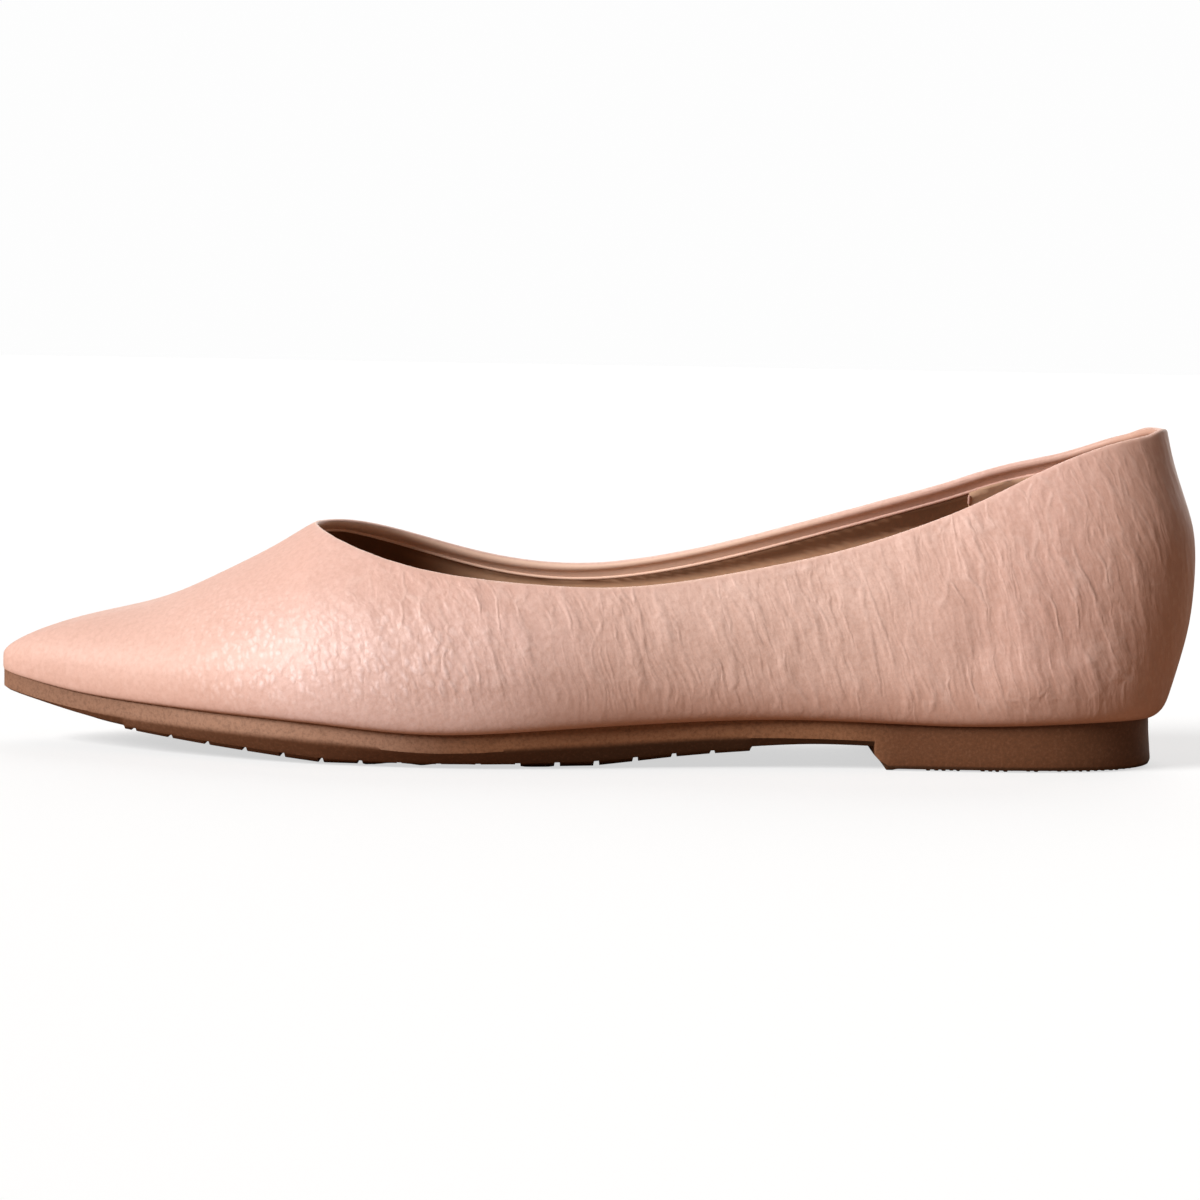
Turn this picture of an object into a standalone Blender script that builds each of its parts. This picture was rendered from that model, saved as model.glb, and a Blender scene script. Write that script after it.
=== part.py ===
# A pointed-toe ballet flat, left shoe, at its real size in metres.
# Heel towards +X, toe towards -X, the outer side of the foot towards -Y, floor at z = 0.
# The origin is the middle of the shoe's box, on the floor.

import math
from collections import namedtuple
from functools import lru_cache

import bmesh
import bpy

# Driving sizes
SHOE_LENGTH = 0.262
BALL_WIDTH = 0.0855
HEEL_WIDTH = 0.0610
TOE_SWING = 0.0040
BACK_RISE = 0.0627
VAMP_RISE = 0.0408
BACK_SETBACK = 0.0096
NOSE_TUCK = 0.0002

# Places along the shoe, 0 at the back and 1 at the toe tip
HEEL_END = 0.20
SWING_START = 0.55
BALL_START = 0.60
FACING_END = 0.725
THROAT = 0.737

# Upper
UPPER_WALL = 0.0016
FACING_DEPTH = 0.0032
FACING_STEP = 0.0005
TUCK_ROUNDNESS = 3.0

# Outsole
TOE_SPRING = 0.0128
BALL_DEPTH = 0.0070
SEAT_HEIGHT = 0.0098
ARCH_RISE = 0.0049
SIDE_WALL = 0.0033
HEEL_CORNER = 0.0012
HEEL_FLARE = 0.0008
BREAST_AT = 0.0700
BREAST_RUN = 0.0030
GROOVE_WIDTH = 0.0013
GROOVE_DEPTH = 0.0010
GROOVE_PITCH = 0.00833
GROOVE_FLANK = 0.0002
TREAD_START = 0.0970
TREAD_END = 0.2325
TREAD_STEP = 0.0007

# Insole
INSOLE_THICKNESS = 0.0030
INSOLE_ROUNDING = 0.0008
INSOLE_INSET = 0.0018
INSOLE_LIFT = 0.0002
EDGE_STEP = 0.002

# Clearance between pieces that touch
TOUCH = 0.0003

# How finely the forms are divided
OPENING_COLUMNS = 26
VAMP_COLUMNS = 16
LOWER_ROWS = 5
UPPER_ROWS = 7
SOLE_STATIONS = 34
ROW_CROWDING = 1.7
TIP_CROWDING = 1.8
BACK_SPREAD = 6
NOSE_SPREAD = 12

# A table's column named along is the place along the shoe, 0 at the back and 1 at the toe tip.

# Widest half-widths of the upper from its swung middle line, as shares of half the local width
Outline = namedtuple("Outline", "along outer inner tuck")
OUTLINE = [
    Outline(0.000, 0.00, 0.00, 0.90),
    Outline(0.030, 0.67, 0.67, 0.90),
    Outline(0.080, 0.90, 0.89, 0.90),
    Outline(0.160, 1.00, 0.98, 0.90),
    Outline(0.270, 0.97, 0.91, 0.90),
    Outline(0.380, 0.93, 0.80, 0.90),
    Outline(0.480, 0.94, 0.79, 0.91),
    Outline(0.570, 0.99, 0.86, 0.93),
    Outline(0.640, 1.01, 0.94, 0.935),
    Outline(0.700, 0.99, 0.96, 0.935),
    Outline(0.770, 0.89, 0.88, 0.93),
    Outline(0.840, 0.70, 0.70, 0.93),
    Outline(0.900, 0.50, 0.49, 0.93),
    Outline(0.950, 0.315, 0.305, 0.93),
    Outline(0.980, 0.185, 0.18, 0.93),
    Outline(1.000, 0.00, 0.00, 0.93),
]

# Height of the feather line, where upper and sole meet, as shares of three named heights
Feather = namedtuple("Feather", "along seat ball spring")
FEATHER = [
    Feather(0.00, 0.98, 0.00, 0.00),
    Feather(0.08, 1.03, 0.00, 0.00),
    Feather(0.22, 0.96, 0.00, 0.00),
    Feather(0.35, 1.06, 0.00, 0.00),
    Feather(0.45, 0.70, 0.37, 0.00),
    Feather(0.56, 0.15, 0.90, 0.00),
    Feather(0.63, 0.00, 1.00, 0.00),
    Feather(0.71, 0.00, 1.00, 0.12),
    Feather(0.79, 0.00, 0.98, 0.23),
    Feather(0.86, 0.00, 0.88, 0.36),
    Feather(0.925, 0.00, 0.76, 0.53),
    Feather(0.965, 0.00, 0.64, 0.73),
    Feather(1.00, 0.00, 0.48, 1.00),
]

# Underside of the sole above the floor, and how far the slanted under-edge reaches in
Underside = namedtuple("Underside", "along spring arch reach")
UNDERSIDE = [
    Underside(0.00, 0.00, 1.00, 0.05),
    Underside(0.255, 0.00, 0.96, 0.05),
    Underside(0.272, 0.00, 0.97, 0.12),
    Underside(0.32, 0.00, 1.04, 0.14),
    Underside(0.36, 0.00, 0.87, 0.16),
    Underside(0.42, 0.00, 0.62, 0.18),
    Underside(0.48, 0.00, 0.27, 0.18),
    Underside(0.52, 0.00, 0.07, 0.18),
    Underside(0.55, 0.00, 0.00, 0.18),
    Underside(0.66, 0.00, 0.00, 0.18),
    Underside(0.71, 0.04, 0.00, 0.17),
    Underside(0.77, 0.16, 0.00, 0.16),
    Underside(0.84, 0.31, 0.00, 0.15),
    Underside(0.91, 0.50, 0.00, 0.14),
    Underside(0.965, 0.76, 0.00, 0.12),
    Underside(1.00, 1.00, 0.00, 0.10),
]

# Heights above the feather line, as shares of the local rise: the widest line, the crown that the
# sections close on (over the opening it is only the form's guide), and how full they are
Section = namedtuple("Section", "along widest crown fullness")
SECTION = [
    Section(0.00, 0.52, 1.24, 2.3),
    Section(0.06, 0.36, 1.22, 2.3),
    Section(0.16, 0.26, 1.12, 2.2),
    Section(0.25, 0.24, 1.05, 2.0),
    Section(0.35, 0.24, 1.02, 1.9),
    Section(0.45, 0.23, 1.04, 1.85),
    Section(0.55, 0.225, 1.12, 1.8),
    Section(0.63, 0.22, 1.20, 1.75),
    Section(0.70, 0.20, 1.11, 1.75),
    Section(0.737, 0.176, 1.00, 1.75),
    Section(0.767, 0.162, 0.862, 1.75),
    Section(0.80, 0.147, 0.742, 1.8),
    Section(0.85, 0.128, 0.568, 1.9),
    Section(0.90, 0.108, 0.456, 2.0),
    Section(0.934, 0.093, 0.38, 2.1),
    Section(0.968, 0.074, 0.268, 2.2),
    Section(0.984, 0.064, 0.199, 2.2),
    Section(1.00, 0.040, 0.066, 2.2),
]

# Topline heights above the feather line, as shares of the local rise; the throat's row is the crown
Topline = namedtuple("Topline", "along outer inner")
TOPLINE = [
    Topline(0.00, 1.000, 1.000),
    Topline(0.05, 0.974, 0.960),
    Topline(0.10, 0.924, 0.904),
    Topline(0.15, 0.845, 0.872),
    Topline(0.20, 0.748, 0.806),
    Topline(0.25, 0.670, 0.750),
    Topline(0.30, 0.606, 0.697),
    Topline(0.35, 0.575, 0.655),
    Topline(0.40, 0.561, 0.626),
    Topline(0.45, 0.565, 0.618),
    Topline(0.50, 0.598, 0.632),
    Topline(0.55, 0.667, 0.690),
    Topline(0.60, 0.747, 0.795),
    Topline(0.65, 0.830, 0.918),
    Topline(0.70, 0.920, 1.006),
    Topline(0.72, 0.962, 1.016),
    Topline(0.737, 1.000, 1.000),
]

# Side view of the back: height as a share of the back's rise, setback as a share of the sole's
BackCurve = namedtuple("BackCurve", "height setback")
BACK_CURVE = [
    BackCurve(0.00, 1.00),
    BackCurve(0.02, 0.70),
    BackCurve(0.05, 0.57),
    BackCurve(0.11, 0.48),
    BackCurve(0.19, 0.33),
    BackCurve(0.27, 0.17),
    BackCurve(0.35, 0.06),
    BackCurve(0.45, 0.00),
    BackCurve(0.58, 0.00),
    BackCurve(0.67, 0.06),
    BackCurve(0.75, 0.23),
    BackCurve(0.83, 0.43),
    BackCurve(0.90, 0.59),
    BackCurve(0.96, 0.68),
    BackCurve(1.00, 0.73),
]

# The sole's side from its wall's end to its flat: shares of the reach, the drop and the back's rounding
UnderEdge = namedtuple("UnderEdge", "reach drop rounding")
UNDER_EDGE = [
    UnderEdge(0.06, 0.00, 0.00),
    UnderEdge(0.40, 0.70, 0.30),
    UnderEdge(1.00, 1.00, 1.00),
]

# Slanted breast of the heel with its notch: shares of the run towards the back and of the drop
Breast = namedtuple("Breast", "run drop")
BREAST = [
    Breast(0.00, 0.00),
    Breast(0.10, 0.36),
    Breast(0.43, 0.56),
    Breast(1.00, 1.00),
]


def eased(value, low, high):
    """0 up to low, 1 past high, and a smooth step between."""
    share = min(1.0, max(0.0, (value - low) / (high - low)))
    return share * share * (3.0 - 2.0 * share)


def along_angle(along):
    """Spreads the ends of the shoe, so that rounded ends are easy to follow."""
    return math.acos(1.0 - 2.0 * min(1.0, max(0.0, along)))


def follow(places, values, place):
    """A smooth curve through the table's points that never swings past them."""
    count = len(places)
    gaps = [places[k + 1] - places[k] for k in range(count - 1)]
    slopes = [(values[k + 1] - values[k]) / gaps[k] for k in range(count - 1)]
    tangents = [slopes[0]]
    for k in range(1, count - 1):
        before, after = slopes[k - 1], slopes[k]
        tangents.append(0.0 if before * after <= 0.0 else 2.0 * before * after / (before + after))
    tangents.append(slopes[-1])
    k = max(0, min(count - 2, sum(1 for p in places[1:] if p <= place)))
    t = min(1.0, max(0.0, (place - places[k]) / gaps[k]))
    rest = 1.0 - t
    ends = values[k] * (1.0 + 2.0 * t) * rest * rest + values[k + 1] * (3.0 - 2.0 * t) * t * t
    turns = (tangents[k] * rest - tangents[k + 1] * t) * gaps[k] * t * rest
    return ends + turns


@lru_cache(maxsize=None)
def bends_of(places, values):
    """Second derivatives of the flowing curve through the points, straight at both ends."""
    last = len(places) - 1
    gaps = [places[k + 1] - places[k] for k in range(last)]
    above = [0.0] * (last + 1)
    right = [0.0] * (last + 1)
    for k in range(1, last):
        turn = (values[k + 1] - values[k]) / gaps[k] - (values[k] - values[k - 1]) / gaps[k - 1]
        pivot = 2.0 * (gaps[k - 1] + gaps[k]) - gaps[k - 1] * above[k - 1]
        above[k] = gaps[k] / pivot
        right[k] = (6.0 * turn - gaps[k - 1] * right[k - 1]) / pivot
    bends = [0.0] * (last + 1)
    for k in range(last - 1, 0, -1):
        bends[k] = right[k] - above[k] * bends[k + 1]
    return bends


def flow(places, values, place):
    """The smoothest curve through the table's points, with no kink in its curvature."""
    bends = bends_of(tuple(places), tuple(values))
    k = max(0, min(len(places) - 2, sum(1 for p in places[1:] if p <= place)))
    gap = places[k + 1] - places[k]
    t = min(1.0, max(0.0, (place - places[k]) / gap))
    rest = 1.0 - t
    straight = rest * values[k] + t * values[k + 1]
    curved = (rest**3 - rest) * bends[k] + (t**3 - t) * bends[k + 1]
    return straight + curved * gap * gap / 6.0


def read(table, column, along, curve=flow):
    """One column of a table, at a place along the shoe."""
    places = [along_angle(row.along) for row in table]
    values = [getattr(row, column) for row in table]
    return curve(places, values, along_angle(along))


def local_width(along):
    return HEEL_WIDTH + (BALL_WIDTH - HEEL_WIDTH) * eased(along, HEEL_END, BALL_START)


def local_rise(along):
    return BACK_RISE + (VAMP_RISE - BACK_RISE) * eased(along, HEEL_END, THROAT)


def middle(along):
    """The foot's middle line swings towards the inner side at the toe."""
    return TOE_SWING * eased(along, SWING_START, 1.0)


def widest_half(along, side):
    return read(OUTLINE, side, along) * local_width(along) / 2.0


def feather_half(along, side):
    return widest_half(along, side) * read(OUTLINE, "tuck", along)


def feather_height(along):
    return (
        read(FEATHER, "seat", along) * SEAT_HEIGHT
        + read(FEATHER, "ball", along) * BALL_DEPTH
        + read(FEATHER, "spring", along) * TOE_SPRING
    )


def setback(height):
    """How far the back lies in front of its rearmost point, at a height above the feather line."""
    share = min(1.0, max(0.0, height / BACK_RISE))
    rows = [row.height for row in BACK_CURVE]
    values = [row.setback for row in BACK_CURVE]
    return follow(rows, values, share) * BACK_SETBACK


def world(distance, across, height):
    """A point from its distance in front of the back, its place across and its height."""
    return (SHOE_LENGTH / 2.0 - distance, across, height)


def distance_of(along, back_inset, nose_inset):
    """Distance from the back, with the back and the nose drawn in by their own insets."""
    drawn_back = back_inset * (1.0 - along) ** BACK_SPREAD
    drawn_nose = nose_inset * along**NOSE_SPREAD
    return along * SHOE_LENGTH + drawn_back - drawn_nose


def top_height(along, side):
    """Height of the upper's top boundary above the feather line: the topline, or the vamp's crown."""
    crown = read(SECTION, "crown", along) * local_rise(along)
    if along >= THROAT:
        return crown
    return min(crown, read(TOPLINE, side, along) * local_rise(along))


def column_points(along, side, sign):
    """Points of the upper's outer face from the feather line up to its top boundary."""
    rise = local_rise(along)
    widest = read(SECTION, "widest", along) * rise
    crown = read(SECTION, "crown", along) * rise
    fullness = read(SECTION, "fullness", along)
    wide = widest_half(along, side)
    narrow = feather_half(along, side)
    base = feather_height(along)
    centre = middle(along)
    points = []
    for row in range(LOWER_ROWS):
        share = (row / LOWER_ROWS) ** ROW_CROWDING
        bend = (1.0 - (1.0 - share) ** TUCK_ROUNDNESS) ** (1.0 / TUCK_ROUNDNESS)
        height = widest * share
        half = narrow + (wide - narrow) * bend
        nose = NOSE_TUCK * (1.0 - bend)
        points.append(world(distance_of(along, setback(height), nose), centre + sign * half, base + height))
    top = (top_height(along, side) - widest) / (crown - widest)
    top_angle = math.asin(min(1.0, top ** (fullness / 2.0)))
    wall_length = max(crown - widest, 3.0 * FACING_DEPTH)
    facing = 1.0 - FACING_DEPTH / wall_length
    shares = [facing * row / UPPER_ROWS for row in range(UPPER_ROWS + 1)]
    shares += [facing + FACING_STEP / wall_length, 1.0]
    for share in shares:
        angle = top_angle * share
        half = wide * max(0.0, math.cos(angle)) ** (2.0 / fullness)
        height = widest + (crown - widest) * math.sin(angle) ** (2.0 / fullness)
        points.append(world(distance_of(along, setback(height), 0.0), centre + sign * half, base + height))
    return points


def upper_places():
    """Places along the upper, close together at the back, at the throat and at the toe tip."""
    opening = [THROAT * (1.0 - math.cos(math.pi * k / OPENING_COLUMNS)) / 2.0 for k in range(OPENING_COLUMNS)]
    vamp = [1.0 - (1.0 - THROAT) * (1.0 - k / VAMP_COLUMNS) ** TIP_CROWDING for k in range(VAMP_COLUMNS + 1)]
    return opening + vamp


def add_object(name, mesh_builder, material):
    """A new object whose mesh is welded and made from the bmesh that the builder fills."""
    form = bmesh.new()
    mesh_builder(form)
    bmesh.ops.remove_doubles(form, verts=form.verts, dist=0.000002)
    mesh = bpy.data.meshes.new(name)
    form.to_mesh(mesh)
    form.free()
    mesh.materials.append(material)
    part = bpy.data.objects.new(name, mesh)
    bpy.context.scene.collection.objects.link(part)
    return part


def fill_upper(form):
    """The upper's outer face as one sheet: both walls, joined along the vamp, the back and the toe tip."""
    for side, sign in (("outer", -1.0), ("inner", 1.0)):
        grid = [[form.verts.new(p) for p in column_points(a, side, sign)] for a in upper_places()]
        for first, second in zip(grid, grid[1:]):
            for row in range(len(first) - 1):
                corners = [first[row], second[row], second[row + 1], first[row + 1]]
                form.faces.new(corners if sign > 0 else corners[::-1])


def weigh_facing(upper):
    """Gives the facing strip under the topline its full weight, and the rest of the wall less."""
    group = upper.vertex_groups.new(name="wall")
    strip_points = set()
    for side, sign in (("outer", -1.0), ("inner", 1.0)):
        for along in upper_places():
            if along < FACING_END:
                for point in column_points(along, side, sign)[-2:]:
                    strip_points.add(tuple(round(value, 6) for value in point))
    plain = UPPER_WALL / (UPPER_WALL + FACING_STEP)
    for vertex in upper.data.vertices:
        in_strip = tuple(round(value, 6) for value in vertex.co) in strip_points
        group.add([vertex.index], 1.0 if in_strip else plain, "REPLACE")
    return group


def make_upper():
    upper = add_object("upper", fill_upper, leather())
    group = weigh_facing(upper)
    wall = upper.modifiers.new("wall", "SOLIDIFY")
    wall.thickness = UPPER_WALL + FACING_STEP
    wall.offset = -1.0
    wall.use_even_offset = True
    wall.vertex_group = group.name
    return upper


def arch_height(along):
    arch = read(UNDERSIDE, "arch", along, follow) * ARCH_RISE
    return arch + read(UNDERSIDE, "spring", along, follow) * TOE_SPRING


def underside_height(distance):
    """Height of the sole's underside: the heel, its breast, the waist and the raised tread."""
    along = distance / SHOE_LENGTH
    if distance <= BREAST_AT - BREAST_RUN:
        return 0.0
    height = arch_height(along)
    if distance < BREAST_AT:
        run = (BREAST_AT - distance) / BREAST_RUN
        drop = follow([row.run for row in BREAST], [row.drop for row in BREAST], run)
        return height * (1.0 - drop)
    if TREAD_START < distance < TREAD_END:
        return max(0.0, height - TREAD_STEP)
    return height


def sole_stations():
    """Pairs of distance from the back and groove depth there, from the back to the toe tip."""
    stations = {}
    for k in range(SOLE_STATIONS + 1):
        along = (1.0 - math.cos(math.pi * k / SOLE_STATIONS)) / 2.0
        stations[along * SHOE_LENGTH] = 0.0
    for row in BREAST:
        stations[BREAST_AT - row.run * BREAST_RUN] = 0.0
    for edge in (TREAD_START, TREAD_END):
        stations[edge - GROOVE_FLANK] = 0.0
        stations[edge + GROOVE_FLANK] = 0.0
    grooves = int((TREAD_END - TREAD_START) / GROOVE_PITCH)
    for k in range(1, grooves + 1):
        centre = TREAD_START + k * GROOVE_PITCH
        if centre > TREAD_END - GROOVE_WIDTH:
            continue
        lip = GROOVE_WIDTH / 2.0
        for near in [d for d in stations if abs(d - centre) < GROOVE_WIDTH]:
            del stations[near]
        stations[centre - lip] = 0.0
        stations[centre - lip + GROOVE_FLANK] = GROOVE_DEPTH
        stations[centre + lip - GROOVE_FLANK] = GROOVE_DEPTH
        stations[centre + lip] = 0.0
    return sorted(stations.items())


def sole_ring(distance, groove):
    """One section of the outsole as a closed ring of points."""
    along = min(1.0, distance / SHOE_LENGTH)
    top = feather_height(along) - TOUCH
    bottom = underside_height(distance)
    heel = distance < BREAST_AT
    wall_end = max(bottom, HEEL_CORNER) if heel else max(top - SIDE_WALL, bottom + TOUCH)
    wall_end = min(wall_end, top - SIDE_WALL / 2.0)
    sides = []
    for side, sign in (("outer", -1.0), ("inner", 1.0)):
        half = feather_half(along, side)
        reach = half * read(UNDERSIDE, "reach", along, follow)
        run = distance_of(along, BACK_SETBACK, NOSE_TUCK)
        points = [world(run, middle(along) + sign * half, top)]
        for row in UNDER_EDGE:
            run = distance_of(along, BACK_SETBACK + row.rounding * HEEL_CORNER - HEEL_FLARE, NOSE_TUCK)
            height = wall_end + row.drop * (bottom - wall_end) + (groove if row.drop == 1.0 else 0.0)
            points.append(world(run, middle(along) + sign * (half - row.reach * reach), height))
        sides.append(points)
    top_middle = world(distance_of(along, BACK_SETBACK, NOSE_TUCK), middle(along), top)
    bottom_run = distance_of(along, BACK_SETBACK + HEEL_CORNER - HEEL_FLARE, NOSE_TUCK)
    bottom_middle = world(bottom_run, middle(along), bottom + groove)
    return [top_middle] + sides[0] + [bottom_middle] + sides[1][::-1]


def skin_rings(form, rings):
    """Joins a row of closed rings into one skin, whose end rings close on themselves."""
    rows = [[form.verts.new(point) for point in ring] for ring in rings]
    for first, second in zip(rows, rows[1:]):
        for k in range(len(first)):
            after = (k + 1) % len(first)
            form.faces.new([first[k], first[after], second[after], second[k]])
    bmesh.ops.remove_doubles(form, verts=form.verts, dist=0.000002)
    bmesh.ops.recalc_face_normals(form, faces=form.faces)


def fill_outsole(form):
    skin_rings(form, [sole_ring(distance, groove) for distance, groove in sole_stations()])


def insole_edge(along, side, sign, inset):
    """A point of the insole's edge: the feather line moved in by the wall and a clearance."""
    before = max(0.0, along - EDGE_STEP)
    after = min(1.0, along + EDGE_STEP)
    here = (distance_of(along, BACK_SETBACK, NOSE_TUCK), feather_half(along, side))
    start = (distance_of(before, BACK_SETBACK, NOSE_TUCK), feather_half(before, side))
    end = (distance_of(after, BACK_SETBACK, NOSE_TUCK), feather_half(after, side))
    run = end[0] - start[0]
    widening = end[1] - start[1]
    length = math.hypot(run, widening)
    if along <= 0.0:
        return here[0] + inset, 0.0
    if along >= 1.0:
        return here[0] - inset, 0.0
    distance = here[0] + inset * widening / length
    half = max(0.0, here[1] - inset * run / length)
    return distance, sign * half


def insole_ring(along):
    """One section of the insole, as thick as it is named, with a rounded top edge."""
    levels = [
        (INSOLE_INSET, 0.0),
        (INSOLE_INSET, INSOLE_THICKNESS - INSOLE_ROUNDING),
        (INSOLE_INSET + INSOLE_ROUNDING, INSOLE_THICKNESS),
    ]
    outer = [insole_edge(along, "outer", -1.0, level[0]) + (level[1],) for level in levels]
    inner = [insole_edge(along, "inner", 1.0, level[0]) + (level[1],) for level in levels]
    low_run = (outer[0][0] + inner[0][0]) / 2.0
    high_run = (outer[2][0] + inner[2][0]) / 2.0
    ring = [(low_run, 0.0, 0.0)] + outer + [(high_run, 0.0, INSOLE_THICKNESS)] + inner[::-1]
    return [world(run, middle(along) + across, feather_height(run / SHOE_LENGTH) + INSOLE_LIFT + height) for run, across, height in ring]


def fill_insole(form):
    skin_rings(form, [insole_ring(along) for along in upper_places()])


def finish_material(name, colour, roughness):
    material = bpy.data.materials.new(name)
    material.use_nodes = True
    shader = material.node_tree.nodes["Principled BSDF"]
    shader.inputs["Base Color"].default_value = (*colour, 1.0)
    shader.inputs["Roughness"].default_value = roughness
    shader.inputs["Metallic"].default_value = 0.0
    return material


def leather():
    return finish_material("pink_leather", (0.72, 0.43, 0.34), 0.45)


def rubber():
    return finish_material("brown_rubber", (0.20, 0.085, 0.038), 0.6)


def sock_lining():
    return finish_material("tan_lining", (0.47, 0.26, 0.15), 0.7)


def centre_on_origin(parts):
    """Slides the shoe across, so that the middle of its box stands over the origin."""
    upper = parts[0].data.vertices
    low = min(vertex.co.y for vertex in upper)
    high = max(vertex.co.y for vertex in upper)
    for part in parts:
        for vertex in part.data.vertices:
            vertex.co.y -= (low + high) / 2.0


def main():
    for thing in list(bpy.data.objects):
        bpy.data.objects.remove(thing)
    upper = make_upper()
    outsole = add_object("outsole", fill_outsole, rubber())
    insole = add_object("insole", fill_insole, sock_lining())
    parts = [upper, outsole, insole]
    centre_on_origin(parts)
    for part in parts:
        part.data.shade_smooth()
    outsole.data.set_sharp_from_angle(angle=math.radians(35.0))


main()
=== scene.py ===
import math
import bpy
from mathutils import Matrix, Vector, kdtree
from mathutils.bvhtree import BVHTree


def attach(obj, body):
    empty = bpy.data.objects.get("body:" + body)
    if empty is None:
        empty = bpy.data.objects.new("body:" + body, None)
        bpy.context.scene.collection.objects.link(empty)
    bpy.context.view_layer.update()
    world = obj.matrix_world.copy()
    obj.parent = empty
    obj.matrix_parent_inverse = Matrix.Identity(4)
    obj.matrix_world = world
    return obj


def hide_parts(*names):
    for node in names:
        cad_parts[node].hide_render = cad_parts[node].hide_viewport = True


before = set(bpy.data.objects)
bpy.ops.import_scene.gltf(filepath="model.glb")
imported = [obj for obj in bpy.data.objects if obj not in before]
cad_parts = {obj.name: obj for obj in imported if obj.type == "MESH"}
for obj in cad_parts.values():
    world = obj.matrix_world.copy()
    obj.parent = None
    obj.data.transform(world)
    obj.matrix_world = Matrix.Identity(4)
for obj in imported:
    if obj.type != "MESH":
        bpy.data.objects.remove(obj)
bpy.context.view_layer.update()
print("frame loaded")


# Small helpers for working on one piece at a time

weldWithin = 0.00001
quadAngle = 1.2                          # radians: triangles are joined back to quads up to this bend
anyShape = 3.14
soleJoint = {"gap": 0.0003, "onUpper": 0.0019, "onSole": 0.0012}      # the solids stand this gap apart


def unit(value):
    return min(1.0, max(0.0, value))


def selectOnly(piece):
    bpy.ops.object.select_all(action="DESELECT")
    piece.select_set(True)
    bpy.context.view_layer.objects.active = piece


def takeSolid(node, name):
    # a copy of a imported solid, merged and with its quads back, ready to be dressed
    piece = bpy.data.objects.new(name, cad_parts[node].data.copy())
    piece.data.name = name
    bpy.context.scene.collection.objects.link(piece)
    piece.data.materials.clear()
    selectOnly(piece)
    bpy.ops.mesh.customdata_custom_splitnormals_clear()
    bpy.ops.object.mode_set(mode="EDIT")
    bpy.ops.mesh.select_all(action="SELECT")
    bpy.ops.mesh.remove_doubles(threshold=weldWithin)
    bpy.ops.mesh.tris_convert_to_quads(face_threshold=quadAngle, shape_threshold=anyShape)
    bpy.ops.object.mode_set(mode="OBJECT")
    return piece


def applyModifier(piece, kind, **settings):
    selectOnly(piece)
    modifier = piece.modifiers.new(kind.lower(), kind)
    for key, value in settings.items():
        setattr(modifier, key, value)
    bpy.ops.object.modifier_apply(modifier=modifier.name)


def smoothSkin(piece, levels):
    applyModifier(piece, "SUBSURF", levels=levels, render_levels=levels)


def keepFaces(piece, wanted):
    # deletes every face that isn't wanted, judged by its centre and normal
    selectOnly(piece)
    bpy.ops.object.mode_set(mode="EDIT")
    bpy.ops.mesh.select_mode(type="FACE")
    bpy.ops.mesh.select_all(action="DESELECT")
    bpy.ops.object.mode_set(mode="OBJECT")
    for face in piece.data.polygons:
        face.select = not wanted(face.center, face.normal)
    bpy.ops.object.mode_set(mode="EDIT")
    bpy.ops.mesh.delete(type="FACE")
    bpy.ops.object.mode_set(mode="OBJECT")


def surfaceTree(mesh):
    points = [vertex.co for vertex in mesh.vertices]
    return BVHTree.FromPolygons(points, [face.vertices for face in mesh.polygons])


def markJoint(piece, node, reach):
    # 1 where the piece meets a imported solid, fading to 0 at the given reach
    tree = surfaceTree(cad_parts[node].data)
    near = piece.data.attributes.new("joint", "FLOAT", "POINT")
    for vertex in piece.data.vertices:
        away = max(0.0, tree.find_nearest(vertex.co)[3] - soleJoint["gap"])
        near.data[vertex.index].value = max(0.0, 1.0 - away / reach)


def finishPiece(piece, material, node=None, angle=None):
    piece.data.materials.clear()
    piece.data.materials.append(material)
    selectOnly(piece)
    if angle is None:
        bpy.ops.object.shade_smooth()
    else:
        bpy.ops.object.shade_smooth_by_angle(angle=math.radians(angle))
    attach(piece, "root")
    if node:
        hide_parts(node)


def freshMaterial(name):
    material = bpy.data.materials.new(name)
    material.use_nodes = True
    shader = material.node_tree.nodes["Principled BSDF"]
    return material, material.node_tree, shader


def addNode(tree, kind, settings=None, **inputs):
    node = tree.nodes.new(kind)
    for key, value in (settings or {}).items():
        setattr(node, key, value)
    for key, value in inputs.items():
        socket = node.inputs[int(key[1:])] if key[0] == "i" and key[1:].isdigit() else node.inputs[key]
        if isinstance(value, bpy.types.NodeSocket):
            tree.links.new(value, socket)
        else:
            socket.default_value = value
    return node


def maths(tree, operation, a, b=0.0, c=0.0, clamp=False):
    return addNode(tree, "ShaderNodeMath", {"operation": operation, "use_clamp": clamp}, i0=a, i1=b, i2=c).outputs[0]


def times(tree, first, *others):
    product = first
    for other in others:
        product = maths(tree, "MULTIPLY", product, other)
    return product


def vectorMaths(tree, operation, a, b, c=None):
    third = {} if c is None else {"i2": c}
    return addNode(tree, "ShaderNodeVectorMath", {"operation": operation}, i0=a, i1=b, **third).outputs[0]


def ranged(tree, value, low, high, start=0.0, end=1.0):
    smooth = {"interpolation_type": "SMOOTHSTEP"}
    return addNode(tree, "ShaderNodeMapRange", smooth, i0=value, i1=low, i2=high, i3=start, i4=end).outputs[0]


def noise(tree, place, kind, output=0):
    scale, detail, roughness = (*kind, 0.5)[:3]
    node = addNode(tree, "ShaderNodeTexNoise", Vector=place, Scale=scale, Detail=detail, Roughness=roughness)
    return node.outputs[output]


def cellEdges(tree, place, size):
    # how far a place is from the edge of its cell
    kind = {"feature": "DISTANCE_TO_EDGE"}
    return addNode(tree, "ShaderNodeTexVoronoi", kind, Vector=place, Scale=1.0 / size).outputs["Distance"]


def objectPlace(tree):
    place = addNode(tree, "ShaderNodeTexCoord").outputs["Object"]
    return place, addNode(tree, "ShaderNodeSeparateXYZ", i0=place).outputs


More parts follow.
